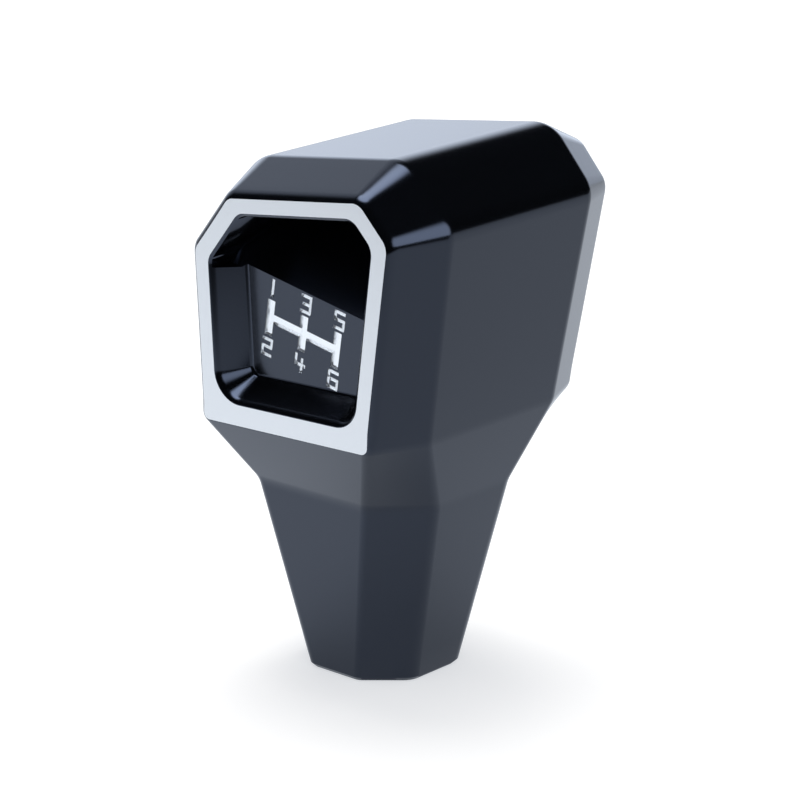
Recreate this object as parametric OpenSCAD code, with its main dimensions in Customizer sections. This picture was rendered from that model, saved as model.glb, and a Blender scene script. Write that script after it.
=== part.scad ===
// Gear shift knob: a machined billet body with a tapered octagonal neck, a cranked faceted head
// open at the front, and a steel lever insert held in the foot by two grub screws.
// The origin is at the middle of the foot, the front face looks towards -Y, and +Z is up.

/* [Foot] */
// Width of the foot across its left and right flats
foot_w = 24.4; // [23:0.2:30]
// Depth of the foot across its front and rear flats
foot_d = 24; // [23:0.2:30]
// Length of the front and rear edges of the foot
foot_front_flat = 10.2; // [8:0.2:12]
// Length of the side edges of the foot
foot_side_flat = 11.6; // [8:0.2:13]
// Chamfer round the bottom edge of the foot
foot_chamfer = 0.7; // [0.3:0.1:1.5]

/* [Neck] */
// Height of the crease where the neck starts to flare into the head
crease_z = 33.1; // [28:0.1:38]
// Width of the neck at the crease
crease_w = 39.6; // [34:0.2:42]
// Depth of the neck at the crease
crease_d = 34.6; // [30:0.2:40]
// Length of the front and rear edges at the crease
crease_front_flat = 23; // [18:0.2:26]
// Length of the side edges at the crease
crease_side_flat = 18.6; // [14:0.2:22]

/* [Head outline] */
// Height of the underside corner on the right
hip_right_z = 46.1; // [43:0.1:49]
// Distance of the right underside corner from the middle
hip_right_x = 23.8; // [21:0.1:26]
// Height of the underside corner on the left
hip_left_z = 44.5; // [42:0.1:48]
// Distance of the left underside corner from the middle
hip_left_x = 20.8; // [18:0.1:24]
// Height of the right shoulder corner
shoulder_right_z = 82.3; // [78:0.1:85]
// Distance of the right shoulder corner from the middle
shoulder_right_x = 29.9; // [27:0.1:33]
// Height of the left shoulder corner
shoulder_left_z = 75; // [71:0.1:79]
// Distance of the left shoulder corner from the middle
shoulder_left_x = 21; // [18:0.1:24]
// Height of the top right corner, the highest point of the flats
top_right_z = 92; // [88:0.1:96]
// Distance of the top right corner from the middle
top_right_x = 20.9; // [18:0.1:23]
// Height of the top left corner
top_left_z = 87.8; // [84:0.1:91]
// Distance of the top left corner from the middle
top_left_x = 10.4; // [8:0.1:13]

/* [Head ends] */
// Depth from end face to end face, measured at the top right corner
head_d = 54.8; // [50:0.2:60]
// Depth of the full section between the two end bevels, measured at the same corner
section_d = 35.2; // [30:0.2:40]
// Outward lean of the end faces in degrees
end_lean = 2.8; // [0:0.1:5]
// How far the end bevels cut into the top
bevel_top = 5; // [3:0.1:6]
// How far the end bevels cut into the shoulders and sides
bevel_side = 4.5; // [3:0.1:6]

/* [Rounding] */
// Radius where the top turns into the shoulders
top_r = 7; // [2:0.5:9]
// Radius where the shoulders turn into the sides
shoulder_r = 2; // [1:0.1:4]
// Radius of the underside corners
hip_r = 4; // [1:0.5:6]
// Radius of the crease
crease_r = 5; // [1:0.5:8]
// Radius where the end bevels leave the full section
bevel_r = 1.6; // [0.5:0.1:3]
// Radius of the upright edges of the neck, beside its front and rear faces
neck_edge_r = 2; // [0.5:0.1:3]
// Corner radius of the end faces at the top and shoulders
face_corner_r = 1.8; // [0.5:0.1:3]
// Height over which the end faces' lower corners are rounded
face_corner_reach = 3; // [2:0.5:5]
// Edge break round the end faces
end_edge_r = 0.3; // [0.2:0.05:0.8]

/* [Front pocket] */
// Width of the bare rim above the pocket
rim_top = 3.1; // [2:0.1:5]
// Width of the rim along the two upper corners
rim_corner = 3.6; // [2:0.1:5]
// Width of the rim at the sides
rim_side = 3.4; // [2:0.1:5]
// Width of the rim under the pocket
rim_bottom = 3.7; // [2:0.1:5]
// Depth of the pocket down to its floor
pocket_depth = 8.8; // [5:0.1:12]
// Corner radius at the top of the pocket
pocket_top_r = 2.6; // [1:0.1:4]
// Corner radius at the bottom of the pocket
pocket_bottom_r = 4.6; // [1:0.1:6]
// Chamfer round the pocket's mouth
mouth_chamfer = 0.7; // [0.3:0.1:1.2]
// Radius of the cove between the pocket's walls and its floor
floor_cove_r = 0.9; // [0.4:0.1:1.5]
// Height above the middle of the foot of the slanted edge where the floor turns into the ramp
step_z = 66.4; // [58:0.1:72]
// Slant of that edge in degrees, falling to the right
step_slant = 11; // [0:0.5:20]
// Angle at which the ramp above the edge falls away from the floor
ramp_angle = 45; // [20:1:50]

/* [Lever insert] */
// Nominal size of the lever thread
thread_d = 12; // [10:0.5:12]
// Pitch of the lever thread
thread_pitch = 1.25; // [1:0.25:1.75]
// Outer diameter of the insert
insert_d = 16; // [15:0.5:18]
// Length of the insert
insert_len = 25; // [18:0.5:28]
// Chamfer at both mouths of the insert
insert_chamfer = 0.5; // [0.3:0.1:0.8]
// Gap all round the insert in its bore
insert_gap = 0.03; // [0.01:0.01:0.1]
// Depth of the drilled relief above the insert for the tip of the lever
relief_depth = 9; // [4:0.5:12]
// Gap all round the lever thread in the relief
relief_gap = 0.4; // [0.2:0.1:1]

/* [Grub screws] */
// Nominal size of the grub screws
grub_d = 4; // [3:0.5:5]
// Length of a grub screw
grub_len = 4; // [3:0.5:5]
// Width across flats of the hexagon socket
socket_af = 2; // [1.5:0.5:2]
// Depth of the hexagon socket
socket_depth = 1.6; // [1:0.1:2]
// Height of the lower grub screw
grub_low_z = 8; // [6:0.5:10]
// Distance between the two grub screws
grub_pitch = 10; // [8:0.5:11]
// Gap all round a grub screw in its hole
grub_gap = 0.05; // [0.02:0.01:0.1]

/* [Hidden] */
$fn = 64;
cut = 1;
curve_steps = 4;
top_steps = 6;
edge_steps = 3;
pocket_steps = 6;
cove_steps = 3;
cap_share = 0.3;
ramp_inset = 0.05;
face_share = 0.15;
lean_tan = tan(end_lean);
minor_d = thread_d - 1.0825 * thread_pitch;
bore_r = insert_d / 2 + insert_gap;
relief_r = thread_d / 2 + relief_gap;
grub_hole_r = grub_d / 2 + grub_gap;
hip_slope = (hip_right_z - hip_left_z) / (hip_right_x + hip_left_x);

// The full section of the head seen from the front: its corners from the left hip round to the right hip
section = [
    [-hip_left_x, hip_left_z], [-shoulder_left_x, shoulder_left_z], [-top_left_x, top_left_z],
    [top_right_x, top_right_z], [shoulder_right_x, shoulder_right_z], [hip_right_x, hip_right_z]
];
// How far the end face lies inside each side of the section, from the left side round to the right one
end_insets = [bevel_side, bevel_side, bevel_top, bevel_side, bevel_side];

function unit(v) = v / norm(v);
function left_normal(a, b) = let (d = unit(b - a)) [-d[1], d[0]];

// The corner between two lines, each given by a point on it and its outward normal
function meet(p, n, q, m) =
    let (a = n * p, b = m * q, det = n[0] * m[1] - n[1] * m[0])
    [(a * m[1] - b * n[1]) / det, (n[0] * b - m[0] * a) / det];

// An open outline moved inwards by its own distance on each side, with its two ends kept on an end line
function inset(pts, dist, end_normal) =
    let (
        count = len(dist),
        nrm = [for (i = [0:count - 1]) left_normal(pts[i], pts[i + 1])],
        on = [for (i = [0:count - 1]) pts[i] - nrm[i] * dist[i]]
    )
    concat(
        [meet(on[0], nrm[0], pts[0], end_normal)],
        [for (i = [1:count - 1]) meet(on[i - 1], nrm[i - 1], on[i], nrm[i])],
        [meet(on[count - 1], nrm[count - 1], pts[count], end_normal)]
    );

// A circular fillet at corner b of the path a, b, c, kept short of the middle of either side
function fillet(a, b, c, r, steps) =
    let (
        u = unit(a - b), v = unit(c - b),
        turn = 180 - acos(u * v),
        back = min(r * tan(turn / 2), 0.48 * norm(a - b), 0.48 * norm(c - b)),
        p = b + u * back, q = b + v * back, w = cos(turn / 2)
    )
    [for (k = [0:steps]) let (t = k / steps, s = 1 - t)
        (s * s * p + 2 * s * t * w * b + t * t * q) / (s * s + 2 * s * t * w + t * t)];

// An open path with a fillet at each corner that has steps
function rounded(path, radii, steps) = [
    for (i = [0:len(path) - 1]) each
        (i == 0 || i == len(path) - 1 || steps[i] == 0) ? [path[i]]
        : fillet(path[i - 1], path[i], path[i + 1], radii[i], steps[i])
];

// A closed outline with a fillet at each corner
function rounded_loop(path, radii, steps) = let (n = len(path)) [
    for (i = [0:n - 1]) each
        fillet(path[(i + n - 1) % n], path[i], path[(i + 1) % n], radii[i], steps)
];

hip_normal = unit([hip_slope, -1]);
end_outline = inset(section, end_insets, hip_normal);

// Distance of an end face, or of a bevel edge, from the middle plane at height z
function lean_y(depth, z) = depth / 2 + lean_tan * (z - top_right_z);

// A head outline with a point a little above either hip, where the end face's corner rounding starts
function with_guides(o) =
    let (n = len(o) - 1)
    [o[0], o[0] + unit(o[1] - o[0]) * face_corner_reach, for (i = [1:n - 1]) o[i],
     o[n] + unit(o[n - 1] - o[n]) * face_corner_reach, o[n]];

// One rib of the body's skin, from the bottom left of the foot over the head to the bottom right:
// half widths and half depths of the foot and crease, and the head outline with its depth
function rib(foot_x, foot_y, crease_x, crease_y, outline, depth) =
    let (
        low = [[foot_x * (1 - foot_chamfer * 2 / foot_w), foot_y * (1 - foot_chamfer * 2 / foot_d), 0],
               [foot_x, foot_y, foot_chamfer], [crease_x, crease_y, crease_z]]
    )
    concat(
        [for (p = low) [-p[0], -p[1], p[2]]],
        [for (p = with_guides(outline)) [p[0], -lean_y(depth, p[1]), p[1]]],
        [for (k = [2:-1:0]) [low[k][0], -low[k][1], low[k][2]]]
    );

function both_ways(v) = concat(v, [for (k = [len(v) - 1:-1:0]) v[k]]);

// The corners of a rib are the foot, base, crease, hip, guide, shoulder and top, and the same back down
hip_corner = 3;
rib_steps = both_ways([0, 0, curve_steps, curve_steps, 0, curve_steps, top_steps]);
end_radii = both_ways([0, 0, crease_r, end_edge_r, 0, face_corner_r, face_corner_r]);
mid_radii = both_ways([0, 0, crease_r, hip_r, 0, shoulder_r, top_r]);
edge_radii = both_ways([neck_edge_r, neck_edge_r, neck_edge_r, neck_edge_r,
                        end_edge_r, end_edge_r, end_edge_r]);

end_rib = rounded(
    rib(foot_front_flat / 2, foot_d / 2, crease_front_flat / 2, crease_d / 2, end_outline, head_d),
    end_radii, rib_steps);
mid_rib = rounded(
    rib(foot_w / 2, foot_side_flat / 2, crease_w / 2, crease_side_flat / 2, section, section_d),
    mid_radii, rib_steps);
row_edge_r = [for (i = [0:len(rib_steps) - 1]) each [for (k = [0:rib_steps[i]]) edge_radii[i]]];
rows = len(end_rib);
hip_row = hip_corner + curve_steps * 2;

function to_rear(pts) = [for (p = pts) [p[0], -p[1], p[2]]];

// Where each row starts on the front: across the neck towards its partner, or inwards on the end face
face_centre = (end_rib[hip_row] + end_rib[rows - 1 - hip_row] + end_rib[rows / 2]) / 3;
cap_points = [for (i = [0:rows - 1]) let (p = end_rib[i], q = end_rib[rows - 1 - i])
    (i > hip_row && i < rows - 1 - hip_row) ? p + (face_centre - p) * face_share : p + (q - p) * cap_share];

// The skin as strings that run front to rear through the ribs, rounded along the face and bevel edges
strings = [for (i = [0:rows - 1]) let (e = row_edge_r[i])
    rounded([cap_points[i], end_rib[i], mid_rib[i],
             to_rear(mid_rib)[i], to_rear(end_rib)[i], to_rear(cap_points)[i]],
        [0, e, bevel_r, bevel_r, e, 0], [0, edge_steps, edge_steps, edge_steps, edge_steps, 0])];

module skin() {
    cols = len(strings[0]);
    last = rows - 1;
    function at(i, j) = i * cols + j;
    function fan(tip, path) = [for (k = [0:len(path) - 2]) [tip, path[k], path[k + 1]]];
    polyhedron(
        points = [for (s = strings) each s],
        faces = concat(
            [for (i = [0:rows - 2], j = [0:cols - 2]) [at(i, j), at(i, j + 1), at(i + 1, j + 1), at(i + 1, j)]],
            [for (i = [0:rows / 2 - 2]) [at(i, 0), at(i + 1, 0), at(rows - 2 - i, 0), at(rows - 1 - i, 0)]],
            [for (i = [0:rows / 2 - 2]) [at(rows - 1 - i, cols - 1), at(rows - 2 - i, cols - 1),
                at(i + 1, cols - 1), at(i, cols - 1)]],
            [for (j = [2:cols - 4]) [at(0, j), at(last, j), at(last, j + 1), at(0, j + 1)]],
            fan(at(0, 2), [at(0, 1), at(0, 0), at(last, 0), at(last, 1), at(last, 2)]),
            fan(at(0, cols - 3), [at(last, cols - 3), at(last, cols - 2), at(last, cols - 1),
                at(0, cols - 1), at(0, cols - 2)])
        ),
        convexity = 4);
}

// A closed clockwise outline moved inwards by its own distance on each side
function inset_loop(f, dist) =
    let (n = len(f), nrm = [for (i = [0:n - 1]) left_normal(f[i], f[(i + 1) % n])])
    [for (i = [0:n - 1]) let (k = (i + n - 1) % n)
        meet(f[i] - nrm[k] * dist[k], nrm[k], f[i] - nrm[i] * dist[i], nrm[i])];

// The front face seen square on: x stays x, and heights are measured along the leaning face
face_outline = [for (p = end_outline) [p[0], (p[1] - step_z) / cos(end_lean)]];
pocket_sharp = inset_loop(face_outline, [rim_side, rim_corner, rim_top, rim_corner, rim_side, rim_bottom]);
pocket_radii = [pocket_bottom_r, pocket_top_r, pocket_top_r, pocket_top_r, pocket_top_r, pocket_bottom_r];

// The pocket's outline moved inwards by a distance, or outwards where it is negative
function pocket_ring(shrink) = rounded_loop(
    inset_loop(pocket_sharp, [for (r = pocket_radii) shrink]),
    [for (r = pocket_radii) max(r - shrink, 0.2)], pocket_steps);

// Moves a shape drawn on the front face, with its own z pointing out of the face
module on_front() {
    translate([0, -lean_y(head_d, step_z), step_z]) rotate([90 + end_lean, 0, 0]) children();
}

// A closed solid through rings of equal length, listed from the top one down
module loft(rings) {
    n = len(rings[0]);
    last = len(rings) - 1;
    polyhedron(
        points = [for (r = rings) each r],
        faces = concat(
            [[for (i = [0:n - 1]) i]],
            [for (k = [0:last - 1], i = [0:n - 1])
                [k * n + i, (k + 1) * n + i, (k + 1) * n + (i + 1) % n, k * n + (i + 1) % n]],
            [[for (i = [n - 1:-1:0]) last * n + i]]
        ));
}

// The pocket down to its floor, with its chamfered mouth and the cove round the floor
module pocket() {
    cove = [for (k = [1:cove_steps]) let (a = 90 * k / cove_steps)
        [floor_cove_r * (1 - cos(a)), pocket_depth - floor_cove_r * (1 - sin(a))]];
    levels = concat([[-mouth_chamfer - cut, -cut], [0, mouth_chamfer], [0, pocket_depth - floor_cove_r]], cove);
    on_front() loft([for (v = levels) [for (p = pocket_ring(v[0])) [p[0], p[1], -v[1]]]]);
}

// The part of the pocket above the slanted edge, which runs on down to the ramp
module ramp() {
    reach = head_d;
    on_front() intersection() {
        translate([0, 0, -reach]) linear_extrude(reach + cut) polygon(pocket_ring(ramp_inset));
        rotate(-step_slant) translate([-reach, 0, 0]) rotate([90, 0, 90]) linear_extrude(2 * reach)
            polygon([[0, cut], [0, -pocket_depth],
                     [reach, -pocket_depth - reach * tan(ramp_angle)], [reach, cut]]);
    }
}

// The insert's stack of heights, which the body's bore and the grub screws share
insert_top = insert_len;
grub_tip_y = insert_d / 2;

module at_each_grub() {
    for (k = [0:1]) translate([0, grub_tip_y, grub_low_z + k * grub_pitch]) rotate([-90, 0, 0]) children();
}

module knob_body() {
    color("#2b2f36") difference() {
        skin();
        pocket();
        ramp();
        translate([0, 0, -cut]) cylinder(r = bore_r, h = insert_top + cut);
        cylinder(r = relief_r, h = insert_top + relief_depth);
        translate([0, -insert_gap - cut, 0]) at_each_grub()
            cylinder(r = grub_hole_r, h = crease_d / 2, $fn = 32);
    }
}

module lever_insert() {
    mouth_r = minor_d / 2 + insert_chamfer;
    color("#b9bcc2") difference() {
        cylinder(d = insert_d, h = insert_len);
        translate([0, 0, -cut]) cylinder(d = minor_d, h = insert_len + 2 * cut);
        for (end = [0, 1]) translate([0, 0, end * insert_len]) mirror([0, 0, end])
            translate([0, 0, -cut])
                cylinder(r1 = mouth_r + cut, r2 = mouth_r - insert_chamfer, h = insert_chamfer + cut);
    }
}

module grub_screw() {
    difference() {
        cylinder(d = grub_d, h = grub_len, $fn = 32);
        translate([0, 0, grub_len - socket_depth])
            cylinder(d = socket_af / cos(30), h = socket_depth + cut, $fn = 6);
    }
}

module grub_screws() {
    color("#3a3c40") at_each_grub() grub_screw();
}

knob_body();
lever_insert();
grub_screws();
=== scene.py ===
# The gear shift knob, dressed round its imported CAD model. Everything is in metres in the frame's own axes:
# the lever thread's axis is Z, the foot stands at z = 0, and the open front face looks towards -Y.
import math

import bmesh
import bpy
import numpy as np
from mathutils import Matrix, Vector


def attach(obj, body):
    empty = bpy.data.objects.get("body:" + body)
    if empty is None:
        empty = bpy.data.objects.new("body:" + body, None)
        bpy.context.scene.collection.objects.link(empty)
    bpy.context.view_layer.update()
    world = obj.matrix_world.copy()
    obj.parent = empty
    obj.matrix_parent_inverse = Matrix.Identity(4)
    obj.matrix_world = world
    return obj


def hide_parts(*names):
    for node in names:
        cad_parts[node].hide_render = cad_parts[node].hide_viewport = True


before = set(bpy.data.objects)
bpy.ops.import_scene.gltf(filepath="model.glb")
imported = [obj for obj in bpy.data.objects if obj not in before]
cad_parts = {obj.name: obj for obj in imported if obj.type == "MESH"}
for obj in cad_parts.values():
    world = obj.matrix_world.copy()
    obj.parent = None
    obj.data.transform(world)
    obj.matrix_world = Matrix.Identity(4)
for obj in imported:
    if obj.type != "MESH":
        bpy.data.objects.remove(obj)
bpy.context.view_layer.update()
MM = 0.001

# Camera, from a fit of the knob's corners to the photograph
VIEW_AZIMUTH = 41.29
VIEW_ELEVATION = 17.37
VIEW_DISTANCE = 576.1 * MM
FOCAL_PX = 3500
PHOTO_PX = 800
SENSOR = 36
AIM_HEIGHT = 46 * MM
AIM_RIGHT = 3.05 * MM
AIM_UP = -1.05 * MM
CLIP = (0.01, 20)

# Foot and neck, in millimetres as in the CAD source
FOOT_W = 24.4
FOOT_D = 24
FOOT_FRONT_FLAT = 10.2
FOOT_SIDE_FLAT = 11.6
FOOT_CHAMFER = 0.7
CREASE_Z = 33.1
CREASE_W = 39.6
CREASE_D = 34.6
CREASE_FRONT_FLAT = 23
CREASE_SIDE_FLAT = 18.6

# Head: the corners of its full section seen from the front, from the left hip round to the right hip
SECTION = [(-20.8, 44.5), (-21, 75), (-10.4, 87.8), (20.9, 92), (29.9, 82.3), (23.8, 46.1)]
HEAD_D = 54.8
SECTION_D = 35.2
END_LEAN = math.radians(2.8)
TOP_Z = 92
BEVEL_TOP = 5
BEVEL_SIDE = 4.5

# Radii
TOP_R = 7
SHOULDER_R = 5
HIP_R = 4
CREASE_R = 5
BEVEL_R = 3.2
NECK_EDGE_R = 2
FACE_CORNER_R = 3
END_EDGE_R = 2.5
END_EDGE_BACK = 0.35
MILLED_OFF = 0.23
FACE_CORNER_REACH = 3

# Front pocket
RIM_TOP = 3.1
RIM_CORNER = 3.6
RIM_SIDE = 3.4
RIM_BOTTOM = 3.7
POCKET_DEPTH = 5.3
POCKET_DRAFT = math.radians(30)
POCKET_TOP_R = 2.6
POCKET_BOTTOM_R = 4.6
FLOOR_COVE_R = 0.8
MOUTH_R = 2.2
MOUTH_MILLED = math.radians(25)
STEP_Z = 66.4
RIDGE_RISE = 2
STEP_SLANT = math.radians(11)
RAMP_ANGLE = math.radians(55)
RAMP_INSET = 0.05

# Lever insert and its thread
THREAD_D = 12
THREAD_PITCH = 1.25
THREAD_DEPTH = 0.54125 * THREAD_PITCH
INSERT_D = 16
INSERT_LEN = 25
INSERT_CHAMFER = 0.5
INSERT_GAP = 0.03
RELIEF_R = 6.4
RELIEF_DEPTH = 9

# Grub screw holes in the back of the neck
GRUB_HOLE_R = 2.05
GRUB_HEIGHTS = (8, 18)
GRUB_TIP_Y = 8

# Engraving on the pocket's floor: a six-speed gate with its numbers, in the axes of the slanted ridge
GATE_CENTRE = (2.6, -5.2)
GATE_PITCH = 7.2
GATE_HALF_HEIGHT = 2.9
GATE_STROKE = 1.6
NUMBER_HEIGHT = 2.7
NUMBER_GAP = 0.95
NUMBER_STROKE = 0.56
GROOVE_DEPTH = 0.4
GROOVE_BEVEL = 0.22


def unit(v):
    return v / np.linalg.norm(v)


def outward(a, b):
    """Unit normal on the left of the line from a to b, which is outside for a clockwise outline."""
    d = unit(b - a)
    return np.array([-d[1], d[0]])


def meet(p, n, q, m):
    """Where the line through p with normal n meets the line through q with normal m."""
    return np.linalg.solve(np.array([n, m]), np.array([n @ p, m @ q]))


def inset_open(points, distances, end_normal):
    """An open outline moved inwards by its own distance on each side, its two ends kept on an end line."""
    normals = [outward(points[i], points[i + 1]) for i in range(len(distances))]
    moved = [points[i] - normals[i] * distances[i] for i in range(len(distances))]
    first = meet(moved[0], normals[0], points[0], end_normal)
    last = meet(moved[-1], normals[-1], points[-1], end_normal)
    inner = [meet(moved[i - 1], normals[i - 1], moved[i], normals[i]) for i in range(1, len(distances))]
    return [first, *inner, last]


def inset_loop(points, distances):
    """A closed clockwise outline moved inwards by its own distance on each side."""
    count = len(points)
    normals = [outward(points[i], points[(i + 1) % count]) for i in range(count)]
    return [meet(points[i] - normals[i - 1] * distances[i - 1], normals[i - 1],
                 points[i] - normals[i] * distances[i], normals[i]) for i in range(count)]


def fillet(a, b, c, radius, steps):
    """A circular arc in place of corner b of the path a, b, c, kept short of the middle of either side."""
    u, v = unit(a - b), unit(c - b)
    turn = math.pi - math.acos(max(-1, min(1, u @ v)))
    back = min(radius * math.tan(turn / 2), 0.48 * np.linalg.norm(a - b), 0.48 * np.linalg.norm(c - b))
    p, q, w = b + u * back, b + v * back, math.cos(turn / 2)
    arc = []
    for k in range(steps + 1):
        t = k / steps
        s = 1 - t
        arc.append((s * s * p + 2 * s * t * w * b + t * t * q) / (s * s + 2 * s * t * w + t * t))
    return arc


def rounded(path, radii, steps, between):
    """An open path with an arc at each corner that has steps, and extra points along each straight."""
    out = []
    for i, corner in enumerate(path):
        ends = i in (0, len(path) - 1)
        sharp = ends or steps[i] == 0
        group = [corner] if sharp else fillet(path[i - 1], corner, path[i + 1], radii[i], steps[i])
        if out:
            start = out[-1]
            for k in range(1, between[i - 1] + 1):
                out.append(start + (group[0] - start) * k / (between[i - 1] + 1))
        out.extend(group)
    return out


def rounded_loop(path, radii, steps):
    """A closed outline with an arc at each corner."""
    count = len(path)
    out = []
    for i in range(count):
        out.extend(fillet(path[i - 1], path[i], path[(i + 1) % count], radii[i], steps))
    return out


def lean_y(depth, z):
    """Distance of an end face, or of a bevel edge, from the middle plane at height z."""
    return depth / 2 + math.tan(END_LEAN) * (z - TOP_Z)


# The head's outlines: the full section, and the end face inside it
section = [np.array(p, float) for p in SECTION]
hip_rise = (section[-1][1] - section[0][1]) / (section[-1][0] - section[0][0])
hip_normal = unit(np.array([hip_rise, -1.0]))
BEVELS = [BEVEL_SIDE, BEVEL_SIDE, BEVEL_TOP, BEVEL_SIDE, BEVEL_SIDE]
end_outline = inset_open(section, BEVELS, hip_normal)
edge_outline = inset_open(section, [b - END_EDGE_BACK for b in BEVELS], hip_normal)


def with_hip_guides(outline):
    """Adds a point a little above either hip, where the rounding of the end face's edge starts to grow."""
    left = outline[0] + unit(outline[1] - outline[0]) * FACE_CORNER_REACH
    right = outline[-1] + unit(outline[-2] - outline[-1]) * FACE_CORNER_REACH
    return [outline[0], left, *outline[1:-1], right, outline[-1]]


def rib(foot_x, foot_y, crease_x, crease_y, outline, depth):
    """Corners of one rib of the skin, from the left of the foot over the head to the right of the foot."""
    shrink_x, shrink_y = 1 - FOOT_CHAMFER * 2 / FOOT_W, 1 - FOOT_CHAMFER * 2 / FOOT_D
    low = [(foot_x * shrink_x, foot_y * shrink_y, 0), (foot_x, foot_y, FOOT_CHAMFER),
           (crease_x, crease_y, CREASE_Z)]
    left = [np.array([-x, -y, z], float) for x, y, z in low]
    right = [np.array([x, -y, z], float) for x, y, z in reversed(low)]
    head = [np.array([x, -lean_y(depth, z), z]) for x, z in with_hip_guides(outline)]
    return left + head + right


# Steps of the arcs at a rib's corners: foot, base, crease, hip, guide, shoulder, top, and the same back down
RIB_STEPS = [0, 0, 8, 8, 0, 10, 20, 20, 10, 0, 8, 8, 0, 0]
RIB_BETWEEN = [0, 6, 5, 3, 7, 2, 8, 2, 7, 3, 5, 6, 0]
END_RADII = [0, 0, CREASE_R, END_EDGE_R, 0, FACE_CORNER_R, FACE_CORNER_R]
MID_RADII = [0, 0, CREASE_R, HIP_R, 0, SHOULDER_R, TOP_R]
LOW_CORNERS = 3


def both_ways(radii):
    return radii + radii[::-1]


def corner_of_rows():
    """For each point of a finished rib, its place along the corners: 2.5 is half-way from corner 2 to 3."""
    place = []
    for i, steps in enumerate(RIB_STEPS):
        if place:
            count = RIB_BETWEEN[i - 1]
            place += [i - 1 + k / (count + 1) for k in range(1, count + 1)]
        place += [float(i)] * (steps + 1)
    return place


def face_edge_radius(place):
    """Radius along the edge of the end faces and the upright edges below them, by the place along a rib."""
    last = len(RIB_STEPS) - 1
    place = min(place, last - place)
    hip, guide = LOW_CORNERS, LOW_CORNERS + 1
    if place <= hip:
        return NECK_EDGE_R
    if place >= guide:
        return END_EDGE_R
    return NECK_EDGE_R + (END_EDGE_R - NECK_EDGE_R) * (place - hip)


def to_rear(p):
    return np.array([p[0], -p[1], p[2]])


EDGE_STEPS = 8
CAP_SHARE = 0.3
FACE_SHARE = 0.2
STRING_STEPS = [0, EDGE_STEPS, EDGE_STEPS, EDGE_STEPS, EDGE_STEPS, 0]
STRING_BETWEEN = [0, 5, 4, 5, 0]
WELD = 0.0001 * MM


def skin_strings():
    """The skin as strings that run from the front cap through the four ribs to the rear cap."""
    end = rounded(rib(FOOT_FRONT_FLAT / 2, FOOT_D / 2, CREASE_FRONT_FLAT / 2, CREASE_D / 2, edge_outline,
                      HEAD_D + 2 * MILLED_OFF),
                  both_ways(END_RADII), RIB_STEPS, RIB_BETWEEN)
    mid = rounded(rib(FOOT_W / 2, FOOT_SIDE_FLAT / 2, CREASE_W / 2, CREASE_SIDE_FLAT / 2, section, SECTION_D),
                  both_ways(MID_RADII), RIB_STEPS, RIB_BETWEEN)
    places = corner_of_rows()
    guide = LOW_CORNERS + 1
    centre = np.mean([p for p, place in zip(end, places) if place in (guide, len(RIB_STEPS) - 1 - guide)]
                     + [end[len(end) // 2]], axis=0)
    strings = []
    for i, (outer, inner) in enumerate(zip(end, mid)):
        on_head = min(places[i], len(RIB_STEPS) - 1 - places[i]) >= guide
        target, share = (centre, FACE_SHARE) if on_head else (end[len(end) - 1 - i], CAP_SHARE)
        cap = outer + (target - outer) * share
        edge = face_edge_radius(places[i])
        path = [cap, outer, inner, to_rear(inner), to_rear(outer), to_rear(cap)]
        strings.append(rounded(path, [0, edge, BEVEL_R, BEVEL_R, edge, 0], STRING_STEPS, STRING_BETWEEN))
    return strings


def skin_mesh():
    """The closed skin of the body, with its end faces a little proud until they are milled flat."""
    strings = skin_strings()
    rows, cols = len(strings), len(strings[0])
    mesh = bmesh.new()
    grid = [[mesh.verts.new(p * MM) for p in string] for string in strings]
    for i in range(rows - 1):
        for j in range(cols - 1):
            mesh.faces.new((grid[i][j], grid[i + 1][j], grid[i + 1][j + 1], grid[i][j + 1]))
    for i in range(rows // 2 - 1):
        k = rows - 1 - i
        mesh.faces.new((grid[i][0], grid[k][0], grid[k - 1][0], grid[i + 1][0]))
        mesh.faces.new((grid[i][-1], grid[i + 1][-1], grid[k - 1][-1], grid[k][-1]))
    for j in range(cols - 1):
        mesh.faces.new((grid[0][j], grid[0][j + 1], grid[-1][j + 1], grid[-1][j]))
    bmesh.ops.remove_doubles(mesh, verts=mesh.verts, dist=WELD)
    bmesh.ops.recalc_face_normals(mesh, faces=mesh.faces)
    return mesh


def new_object(name, mesh, materials):
    """A new piece from a bmesh, linked to the scene, with its material slots."""
    data = bpy.data.meshes.new(name)
    mesh.to_mesh(data)
    mesh.free()
    obj = bpy.data.objects.new(name, data)
    bpy.context.scene.collection.objects.link(obj)
    for m in materials:
        data.materials.append(m)
    return obj


# The front face's own plane: x stays x, u runs up along the leaning face, and depth runs into the body
FACE_Y = -lean_y(HEAD_D, STEP_Z)
FACE_UP = np.array([0, -math.sin(END_LEAN), math.cos(END_LEAN)])
FACE_IN = np.array([0, math.cos(END_LEAN), math.sin(END_LEAN)])


def from_face(x, u, depth):
    """The place of a point given on the front face's plane, with its depth below it."""
    return np.array([x, FACE_Y, STEP_Z]) + FACE_UP * u + FACE_IN * depth


face_outline = [np.array([x, (z - STEP_Z) / math.cos(END_LEAN)]) for x, z in end_outline]
pocket_sharp = inset_loop(face_outline, [RIM_SIDE, RIM_CORNER, RIM_TOP, RIM_CORNER, RIM_SIDE, RIM_BOTTOM])
POCKET_RADII = [POCKET_BOTTOM_R, POCKET_TOP_R, POCKET_TOP_R, POCKET_TOP_R, POCKET_TOP_R, POCKET_BOTTOM_R]
POCKET_STEPS = 14


def pocket_ring(shrink):
    """The pocket's outline moved inwards by a distance, or outwards where it is negative."""
    sharp = inset_loop(pocket_sharp, [shrink] * len(pocket_sharp))
    return rounded_loop(sharp, [max(r - shrink, 0.2) for r in POCKET_RADII], POCKET_STEPS)


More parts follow.
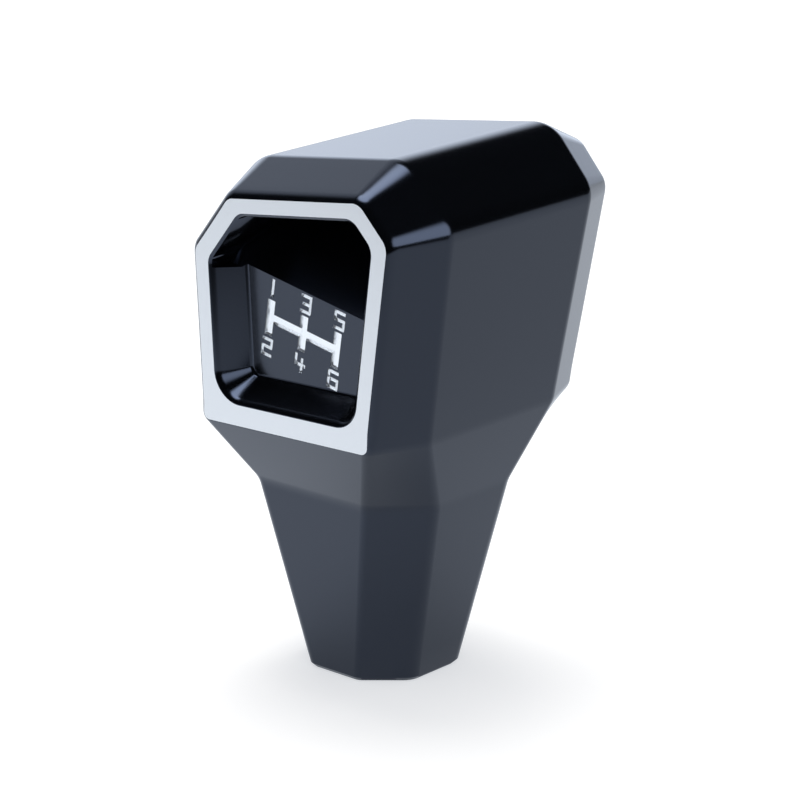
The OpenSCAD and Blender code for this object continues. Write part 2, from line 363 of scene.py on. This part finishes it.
def loft(rings):
    """A closed solid through rings of equal length, the first and the last one capped."""
    mesh = bmesh.new()
    loops = [[mesh.verts.new(p * MM) for p in ring] for ring in rings]
    count = len(loops[0])
    for a, b in zip(loops, loops[1:]):
        for i in range(count):
            mesh.faces.new((a[i], a[(i + 1) % count], b[(i + 1) % count], b[i]))
    mesh.faces.new(loops[0][::-1])
    mesh.faces.new(loops[-1])
    bmesh.ops.recalc_face_normals(mesh, faces=mesh.faces)
    return mesh


COVE_STEPS = 6
MOUTH_STEPS = 8
CUT_ABOVE = 1
MOUTH_ABOVE = 0.5


def pocket_cutter():
    """The pocket down to its floor: a rounded mouth, walls with a draft, and a cove round the floor."""
    turn = math.pi / 2 - POCKET_DRAFT
    run = math.tan(POCKET_DRAFT)
    levels = []
    off = MOUTH_R * (1 - math.cos(MOUTH_MILLED))
    for k in range(MOUTH_STEPS + 1):
        a = MOUTH_MILLED + (turn - MOUTH_MILLED) * k / MOUTH_STEPS
        levels.append((MOUTH_R * (math.sin(a) - math.tan(turn / 2)) - off * run,
                       MOUTH_R * (1 - math.cos(a)) - off))
    (edge, _), (inner, depth) = levels[:2]
    levels[0] = (inner + (edge - inner) * (depth + MOUTH_ABOVE) / depth, -MOUTH_ABOVE)
    corner = POCKET_DEPTH * run + FLOOR_COVE_R * math.tan(turn / 2)
    for k in range(COVE_STEPS + 1):
        a = turn * (1 - k / COVE_STEPS)
        levels.append((corner - FLOOR_COVE_R * math.sin(a), POCKET_DEPTH - FLOOR_COVE_R * (1 - math.cos(a))))
    return loft([[from_face(x, u, depth) for x, u in pocket_ring(shrink)] for shrink, depth in levels])


RIDGE_ALONG = np.array([math.cos(STEP_SLANT), -math.sin(STEP_SLANT)])
RIDGE_UP = np.array([math.sin(STEP_SLANT), math.cos(STEP_SLANT)])
RAMP_OVERLAP = 0.5


def clipped(ring, low):
    """The part of a ring above a line along the ridge, which is at a height over the ridge."""
    heights = [p @ RIDGE_UP - RIDGE_RISE - low for p in ring]
    out = []
    for i, p in enumerate(ring):
        q, hp, hq = ring[(i + 1) % len(ring)], heights[i], heights[(i + 1) % len(ring)]
        if hp >= 0:
            out.append(p)
        if (hp >= 0) != (hq >= 0):
            out.append(p + (q - p) * hp / (hp - hq))
    return out


def ramp_cutter():
    """The pocket above the slanted ridge, which runs on down to the ramp."""
    outline = clipped(pocket_ring(RAMP_INSET), -RAMP_OVERLAP)
    slope = math.tan(RAMP_ANGLE)
    return loft([[from_face(*p, -CUT_ABOVE) for p in outline],
                 [from_face(*p, POCKET_DEPTH + (p @ RIDGE_UP - RIDGE_RISE) * slope) for p in outline]])


def stroke_sides(path, offset, reach):
    """The two sides of a stroke along a path, at an offset from it, with its ends carried on by a reach."""
    points = [np.array(p, float) for p in path]
    left, right = [], []
    for i, p in enumerate(points):
        before = points[i - 1] if i > 0 else None
        after = points[i + 1] if i < len(points) - 1 else None
        if before is None or after is None:
            way = unit(after - p) if before is None else unit(p - before)
            side = np.array([-way[1], way[0]])
            tip = p - way * reach if before is None else p + way * reach
            left.append(tip + side * offset)
            right.append(tip - side * offset)
        else:
            n1, n2 = outward(before, p), outward(p, after)
            mitre = (n1 + n2) / (1 + n1 @ n2)
            left.append(p + mitre * offset)
            right.append(p - mitre * offset)
    return left, right


GROOVE_RISE = 0.3


def add_groove(mesh, path, width, depth):
    """A groove with a flat bottom and bevelled sides, cut along a path on the pocket's floor."""
    run = GROOVE_BEVEL / GROOVE_DEPTH
    levels = []
    for below in (-GROOVE_RISE, depth):
        offset = width / 2 - run * below
        left, right = stroke_sides(path, offset, offset - width / 2 + GROOVE_BEVEL)
        levels.append([[mesh.verts.new(from_face(*on_floor(p), POCKET_DEPTH + below) * MM) for p in side]
                       for side in (left, right)])
    (top_l, top_r), (low_l, low_r) = levels
    for i in range(len(path) - 1):
        k = i + 1
        mesh.faces.new((top_l[i], top_l[k], top_r[k], top_r[i]))
        mesh.faces.new((low_l[i], low_r[i], low_r[k], low_l[k]))
        mesh.faces.new((top_l[i], low_l[i], low_l[k], top_l[k]))
        mesh.faces.new((top_r[i], top_r[k], low_r[k], low_r[i]))
    mesh.faces.new((top_l[0], top_r[0], low_r[0], low_l[0]))
    mesh.faces.new((top_l[-1], low_l[-1], low_r[-1], top_r[-1]))


def on_floor(p):
    """A point given along and across the slanted ridge, in the front face's own axes."""
    return RIDGE_ALONG * p[0] + RIDGE_UP * p[1]


# Numbers as strokes on a grid of one height: a main line each, and a branch that is cut after it
NUMBERS = {
    1: ([(0, 1), (0, 0)], None),
    2: ([(-0.34, 1), (0.34, 1), (0.34, 0.52), (-0.34, 0.52), (-0.34, 0), (0.34, 0)], None),
    3: ([(-0.34, 1), (0.34, 1), (0.34, 0), (-0.34, 0)], [(-0.2, 0.5), (0.34, 0.5)]),
    4: ([(-0.32, 1), (-0.32, 0.42), (0.38, 0.42)], [(0.16, 0.8), (0.16, 0)]),
    5: ([(0.34, 1), (-0.34, 1), (-0.34, 0.52), (0.34, 0.52), (0.34, 0), (-0.34, 0)], None),
    6: ([(0.34, 1), (-0.34, 1), (-0.34, 0), (0.34, 0), (0.34, 0.52)], [(-0.34, 0.52), (0.34, 0.52)]),
}
BRANCH_EXTRA = 0.03


def engraving_cutters():
    """Two sets of grooves: the long lines, and then the ones that cross them, a hair deeper."""
    main, branch = bmesh.new(), bmesh.new()
    cx, cy = GATE_CENTRE
    add_groove(main, [(cx - GATE_PITCH, cy), (cx + GATE_PITCH, cy)], GATE_STROKE, GROOVE_DEPTH)
    for k in (-1, 0, 1):
        x = cx + k * GATE_PITCH
        add_groove(branch, [(x, cy - GATE_HALF_HEIGHT), (x, cy + GATE_HALF_HEIGHT)], GATE_STROKE,
                   GROOVE_DEPTH + BRANCH_EXTRA)
        for number, base in ((2 * k + 3, cy + GATE_HALF_HEIGHT + NUMBER_GAP),
                             (2 * k + 4, cy - GATE_HALF_HEIGHT - NUMBER_GAP - NUMBER_HEIGHT)):
            line, crossing = NUMBERS[number]
            for mesh, path, extra in ((main, line, 0), (branch, crossing, BRANCH_EXTRA)):
                if path:
                    add_groove(mesh, [(x + a * NUMBER_HEIGHT, base + b * NUMBER_HEIGHT) for a, b in path],
                               NUMBER_STROKE, GROOVE_DEPTH + extra)
    for mesh in (main, branch):
        bmesh.ops.recalc_face_normals(mesh, faces=mesh.faces)
    return main, branch


def cut(obj, cutter, name, material):
    """Cuts a solid out of a piece; the new faces take the cutter's material."""
    tool = new_object(name, cutter, [material])
    modifier = obj.modifiers.new(name, "BOOLEAN")
    modifier.operation = "DIFFERENCE"
    modifier.solver = "EXACT"
    modifier.material_mode = "TRANSFER"
    modifier.object = tool
    depsgraph = bpy.context.evaluated_depsgraph_get()
    data = bpy.data.meshes.new_from_object(obj.evaluated_get(depsgraph), preserve_all_data_layers=True,
                                           depsgraph=depsgraph)
    obj.modifiers.clear()
    old = obj.data
    obj.data = data
    data.name = obj.name
    bpy.data.meshes.remove(old)
    bpy.data.objects.remove(tool)


BORE_SEGMENTS = 96
CROSS_SEGMENTS = 48


def circle(radius, segments):
    angles = [2 * math.pi * k / segments for k in range(segments)]
    return [(radius * math.cos(a), radius * math.sin(a)) for a in angles]


def round_hole(radius, bottom, top):
    """An upright cylinder between two heights."""
    ring = circle(radius, BORE_SEGMENTS)
    return loft([[np.array([x, y, z]) for x, y in ring] for z in (bottom, top)])


def cross_hole(radius, z, start, end):
    """A cylinder that runs towards the rear at a height."""
    ring = circle(radius, CROSS_SEGMENTS)
    return loft([[np.array([x, y, z + up]) for x, up in ring] for y in (start, end)])


SLAB_REACH = 60
SLAB_TOP = TOP_Z + 20
SLAB_THICK = 10


def beyond_face(sign):
    """A slab that holds everything in front of the front face, or behind the rear one."""
    corners = [(-SLAB_REACH, CREASE_Z), (SLAB_REACH, CREASE_Z), (SLAB_REACH, SLAB_TOP), (-SLAB_REACH, SLAB_TOP)]
    return loft([[np.array([x, sign * (lean_y(HEAD_D, z) + out), z]) for x, z in corners]
                 for out in (0, SLAB_THICK)])


THREAD_COLS = 96
THREAD_ROWS = 12
# How steeply the thread's flanks rise over half a pitch, and how far into it they start, as shares of its depth
FLANK_GAIN, FLANK_START = 1.35, 0.12
INSERT_EDGE = 0.4


def threaded_insert():
    """The insert: a chamfered steel sleeve whose bore follows the helix of the lever's thread."""
    mesh = bmesh.new()
    minor = THREAD_D / 2 - THREAD_DEPTH
    mouth = minor + INSERT_CHAMFER
    count = round(INSERT_LEN / THREAD_PITCH * THREAD_ROWS)
    heights = [INSERT_LEN * k / count for k in range(count + 1)]

    def bore(turn, z):
        phase = (z / THREAD_PITCH - turn) % 1
        ridge = min(1, max(0, FLANK_GAIN * (1 - abs(2 * phase - 1)) - FLANK_START))
        cone = mouth - min(z, INSERT_LEN - z)
        return max(minor + THREAD_DEPTH * ridge, cone)

    rings = []
    outer = [(INSERT_D / 2 - INSERT_EDGE, 0), (INSERT_D / 2, INSERT_EDGE),
             (INSERT_D / 2, INSERT_LEN - INSERT_EDGE), (INSERT_D / 2 - INSERT_EDGE, INSERT_LEN)]
    turns = [k / THREAD_COLS for k in range(THREAD_COLS)]
    for z in reversed(heights):
        rings.append([(bore(t, z), z) for t in turns])
    for r, z in outer:
        rings.append([(r, z)] * THREAD_COLS)
    grid = [[mesh.verts.new((r * math.cos(2 * math.pi * t) * MM, r * math.sin(2 * math.pi * t) * MM, z * MM))
             for t, (r, z) in zip(turns, ring)] for ring in rings]
    for i in range(len(grid)):
        below = grid[(i + 1) % len(grid)]
        for j in range(THREAD_COLS):
            k = (j + 1) % THREAD_COLS
            mesh.faces.new((grid[i][j], grid[i][k], below[k], below[j]))
    bmesh.ops.recalc_face_normals(mesh, faces=mesh.faces)
    return mesh


def smooth(obj, angle):
    """Smooth shading with sharp edges above an angle, and normals weighted so that the flats stay flat."""
    for polygon in obj.data.polygons:
        polygon.use_smooth = True
    obj.data.set_sharp_from_angle(angle=math.radians(angle))
    modifier = obj.modifiers.new("flats", "WEIGHTED_NORMAL")
    modifier.keep_sharp = True
    modifier.weight = 100


# Materials


def principled(name, slots):
    """A material with a Principled shader and the given socket values."""
    material = bpy.data.materials.new(name)
    material.use_nodes = True
    shader = material.node_tree.nodes["Principled BSDF"]
    for key, value in slots.items():
        shader.inputs[key].default_value = value
    return material, material.node_tree, shader


def grain(tree, shader, scale, stretch, strength, distance):
    """Fine bump on a shader: noise in object space, stretched by a factor per axis."""
    nodes, links = tree.nodes, tree.links
    place = nodes.new("ShaderNodeTexCoord")
    mapping = nodes.new("ShaderNodeMapping")
    mapping.inputs["Scale"].default_value = stretch
    noise = nodes.new("ShaderNodeTexNoise")
    noise.inputs["Scale"].default_value = scale
    noise.inputs["Detail"].default_value = 3
    bump = nodes.new("ShaderNodeBump")
    bump.inputs["Strength"].default_value = strength
    bump.inputs["Distance"].default_value = distance
    links.new(place.outputs["Object"], mapping.inputs["Vector"])
    links.new(mapping.outputs["Vector"], noise.inputs["Vector"])
    links.new(noise.outputs["Fac"], bump.inputs["Height"])
    links.new(bump.outputs["Normal"], shader.inputs["Normal"])


def anodised_black():
    material, tree, shader = principled("black_anodised", {
        "Base Color": (0.0016, 0.002, 0.003, 1), "Roughness": 0.17, "IOR": 1.72,
        "Specular Tint": (0.64, 0.73, 0.95, 1)})
    grain(tree, shader, 9000, (1, 1, 1), 0.04, 0.00001)
    return material


def milled_bright(name, base, roughness):
    material, tree, shader = principled(name, {
        "Base Color": (base, 1.01 * base, 1.02 * base, 1), "Roughness": roughness, "Metallic": 1.0})
    grain(tree, shader, 2800, (1, 1, 1), 0.3, 0.00005)
    return material


def steel(name, colour, roughness):
    material, tree, shader = principled(name, {
        "Base Color": (*colour, 1), "Roughness": roughness, "Metallic": 1.0})
    grain(tree, shader, 3000, (1, 1, 0.05), 0.06, 0.00002)
    return material


black = anodised_black()
bright = milled_bright("milled_bright", 0.81, 0.36)
engraved = milled_bright("engraved_bright", 0.93, 0.24)
zinc = steel("insert_zinc", (0.62, 0.62, 0.64), 0.3)
oxide = steel("screw_oxide", (0.05, 0.05, 0.055), 0.4)

# Angles above which an edge is drawn sharp
BODY_SHARP, INSERT_SHARP = 32, 35

# The body
body = new_object("knob_body_dressed", skin_mesh(), [black])
cut(body, beyond_face(-1), "front_milling", bright)
cut(body, beyond_face(1), "rear_milling", black)
cut(body, ramp_cutter(), "ramp", black)
cut(body, pocket_cutter(), "pocket", black)
for name, grooves in zip(("engraving", "engraving_crossings"), engraving_cutters()):
    cut(body, grooves, name, engraved)
cut(body, round_hole(INSERT_D / 2 + INSERT_GAP, -CUT_ABOVE, INSERT_LEN), "insert_bore", black)
cut(body, round_hole(RELIEF_R, INSERT_LEN - CUT_ABOVE, INSERT_LEN + RELIEF_DEPTH), "relief", black)
for z in GRUB_HEIGHTS:
    cut(body, cross_hole(GRUB_HOLE_R, z, GRUB_TIP_Y - CUT_ABOVE, CREASE_D / 2 + CUT_ABOVE), "grub_hole", black)
smooth(body, BODY_SHARP)
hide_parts("knob_body")
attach(body, "root")

insert = new_object("lever_insert_threaded", threaded_insert(), [zinc])
smooth(insert, INSERT_SHARP)
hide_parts("lever_insert")
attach(insert, "root")

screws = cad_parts["grub_screws"].data
screws.materials.clear()
screws.materials.append(oxide)

# Camera
azimuth, elevation = math.radians(VIEW_AZIMUTH), math.radians(VIEW_ELEVATION)
back = Vector((math.sin(azimuth) * math.cos(elevation), -math.cos(azimuth) * math.cos(elevation),
               math.sin(elevation)))
right = Vector((math.cos(azimuth), math.sin(azimuth), 0))
up = back.cross(right)
aim = Vector((0, 0, AIM_HEIGHT)) + right * AIM_RIGHT + up * AIM_UP
lens = bpy.data.cameras.new("camera")
lens.sensor_width = SENSOR
lens.lens = FOCAL_PX / PHOTO_PX * SENSOR
lens.clip_start, lens.clip_end = CLIP
camera = bpy.data.objects.new("camera", lens)
camera.location = aim + back * VIEW_DISTANCE
camera.rotation_mode = "QUATERNION"
camera.rotation_quaternion = (-back).to_track_quat("-Z", "Y")
bpy.context.scene.collection.objects.link(camera)
bpy.context.scene.camera = camera


# Floor, world and lamp

# The sheet's colour under the lights and its own painted glow, for plain rays and for the ones gloss sends out;
# the glow is cooler than the lit colour, which paints a bluish tint into the shade
SHEET_LIT, SHEET_LIT_GLOSSY = (0.5, 0.485, 0.46), (0.46, 0.49, 0.53)
SHEET_GLOW, SHEET_GLOW_GLOSSY = (0.575, 0.592, 0.622), (0.3906, 0.42, 0.462)
# In reflections the sheet dims to the right, down to a share, and ends towards the front: painted shade in what
# the knob reflects
LEFT_WAY, LEFT_FADE, RIGHT_SHARE = (-1, 0, 0), (-0.1, 0.03), 0.68
FRONT_WAY, FRONT_FADE = (-0.5, 0.87, 0), (-0.21, -0.15)


def floor_material():
    """White paper: part of its brightness is a painted glow and part is lit, so that it keeps a soft shadow; in
    reflections both parts fade as painted shade.
    """
    material = bpy.data.materials.new("floor")
    material.use_nodes = True
    tree = material.node_tree
    nodes, links = tree.nodes, tree.links
    nodes.clear()
    out = nodes.new("ShaderNodeOutputMaterial")
    place = nodes.new("ShaderNodeTexCoord")
    # The share of the sheet that reflections see: painted shade that dims it to the right and ends it towards
    # the front
    sheet = nodes.new("ShaderNodeMath")
    sheet.operation = "MULTIPLY"
    for k, (way, fade, least) in enumerate(((LEFT_WAY, LEFT_FADE, RIGHT_SHARE), (FRONT_WAY, FRONT_FADE, 0))):
        along = nodes.new("ShaderNodeVectorMath")
        along.operation = "DOT_PRODUCT"
        along.inputs[1].default_value = way
        share = nodes.new("ShaderNodeMapRange")
        share.interpolation_type = "SMOOTHSTEP"
        share.inputs["From Min"].default_value, share.inputs["From Max"].default_value = fade
        share.inputs["To Min"].default_value = least
        links.new(place.outputs["Object"], along.inputs[0])
        links.new(along.outputs["Value"], share.inputs["Value"])
        links.new(share.outputs["Result"], sheet.inputs[k])
    path = nodes.new("ShaderNodeLightPath")

    def by_ray(plain, glossy):
        """A colour for plain rays, and another for glossy ones that fades with the painted shade across the
        sheet.
        """
        fade = nodes.new("ShaderNodeMix")
        fade.data_type = "RGBA"
        fade.inputs["A"].default_value = (0, 0, 0, 1)
        fade.inputs["B"].default_value = (*glossy, 1)
        pick = nodes.new("ShaderNodeMix")
        pick.data_type = "RGBA"
        pick.inputs["A"].default_value = (*plain, 1)
        links.new(sheet.outputs["Value"], fade.inputs["Factor"])
        links.new(path.outputs["Is Glossy Ray"], pick.inputs["Factor"])
        links.new(fade.outputs["Result"], pick.inputs["B"])
        return pick.outputs["Result"]

    diffuse = nodes.new("ShaderNodeBsdfDiffuse")
    links.new(by_ray(SHEET_LIT, SHEET_LIT_GLOSSY), diffuse.inputs["Color"])
    glow = nodes.new("ShaderNodeEmission")
    links.new(by_ray(SHEET_GLOW, SHEET_GLOW_GLOSSY), glow.inputs["Color"])
    seen = nodes.new("ShaderNodeMath")
    seen.operation = "MAXIMUM"
    links.new(path.outputs["Is Camera Ray"], seen.inputs[0])
    links.new(path.outputs["Is Glossy Ray"], seen.inputs[1])
    links.new(seen.outputs["Value"], glow.inputs["Strength"])
    add = nodes.new("ShaderNodeAddShader")
    links.new(diffuse.outputs["BSDF"], add.inputs[0])
    links.new(glow.outputs["Emission"], add.inputs[1])
    links.new(add.outputs["Shader"], out.inputs["Surface"])
    return material


FLOOR_HALF = 2.5
floor_mesh = bmesh.new()
bmesh.ops.create_grid(floor_mesh, x_segments=1, y_segments=1, size=FLOOR_HALF)
floor = new_object("floor", floor_mesh, [floor_material()])


# Bright panels of the studio: the direction of each one's middle, the angles at which it is full and gone,
# and how much brighter than the dark ceiling it is
PANELS = [
    ((-0.74, 0.66, 0.02), 14, 36, 1.3),
    ((-0.22, 0.97, 0.0), 10, 24, 1.2),
    ((-0.7, -0.7, -0.02), 8, 18, 0.8),
    ((-0.85, 0.35, 0.42), 16, 38, 0.72),
    ((-0.2, -0.15, 0.95), 16, 29, 5),
    ((0.96, -0.05, 0.22), 14, 34, 2.6),
]
CEILING = 0.004
AMBIENT = 0.6
COOL = (0.8, 0.88, 1.02)


def studio_world():
    """White seen directly and an even light on matt surfaces; gloss shows a dark studio with bright panels."""
    world = bpy.data.worlds.new("studio")
    world.use_nodes = True
    tree = world.node_tree
    nodes, links = tree.nodes, tree.links
    nodes.clear()
    out = nodes.new("ShaderNodeOutputWorld")
    place = nodes.new("ShaderNodeTexCoord")
    total = None
    for way, full, gone, strength in PANELS:
        dot = nodes.new("ShaderNodeVectorMath")
        dot.operation = "DOT_PRODUCT"
        dot.inputs[1].default_value = Vector(way).normalized()
        panel = nodes.new("ShaderNodeMapRange")
        panel.interpolation_type = "SMOOTHSTEP"
        panel.inputs["From Min"].default_value = math.cos(math.radians(gone))
        panel.inputs["From Max"].default_value = math.cos(math.radians(full))
        panel.inputs["To Min"].default_value = 0
        panel.inputs["To Max"].default_value = strength
        add = nodes.new("ShaderNodeMath")
        add.operation = "ADD"
        add.inputs[1].default_value = CEILING
        links.new(place.outputs["Generated"], dot.inputs[0])
        links.new(dot.outputs["Value"], panel.inputs["Value"])
        links.new(panel.outputs["Result"], add.inputs[0])
        if total:
            links.new(total.outputs["Value"], add.inputs[1])
        total = add
    path = nodes.new("ShaderNodeLightPath")
    pick = nodes.new("ShaderNodeMix")
    pick.data_type = "FLOAT"
    lit = nodes.new("ShaderNodeMix")
    lit.data_type = "FLOAT"
    tint = nodes.new("ShaderNodeMix")
    tint.data_type = "RGBA"
    tint.inputs["A"].default_value = (1, 1, 1, 1)
    tint.inputs["B"].default_value = (*COOL, 1)
    background = nodes.new("ShaderNodeBackground")
    links.new(path.outputs["Is Glossy Ray"], tint.inputs["Factor"])
    links.new(tint.outputs["Result"], background.inputs["Color"])
    links.new(path.outputs["Is Glossy Ray"], lit.inputs["Factor"])
    lit.inputs["A"].default_value = AMBIENT
    links.new(total.outputs["Value"], lit.inputs["B"])
    links.new(path.outputs["Is Camera Ray"], pick.inputs["Factor"])
    links.new(lit.outputs["Result"], pick.inputs["A"])
    pick.inputs["B"].default_value = 1.0
    links.new(pick.outputs["Result"], background.inputs["Strength"])
    links.new(background.outputs["Background"], out.inputs["Surface"])
    return world


LAMP_PLACE = (-0.22, 0.16, 1.36)
LAMP_SIZE = 0.75
LAMP_POWER = 15


def soft_lamp(name, place, size, power):
    """A square softbox aimed at the knob's foot; the world holds what gloss shows of it."""
    lamp = bpy.data.lights.new(name, "AREA")
    lamp.shape = "SQUARE"
    lamp.size = size
    lamp.energy = power
    obj = bpy.data.objects.new(name, lamp)
    obj.location = place
    obj.rotation_mode = "QUATERNION"
    obj.rotation_quaternion = (-Vector(place)).to_track_quat("-Z", "Y")
    obj.visible_glossy = False
    bpy.context.scene.collection.objects.link(obj)


scene = bpy.context.scene
scene.world = studio_world()
scene.view_settings.view_transform = "Standard"
soft_lamp("overhead_softbox", LAMP_PLACE, LAMP_SIZE, LAMP_POWER)
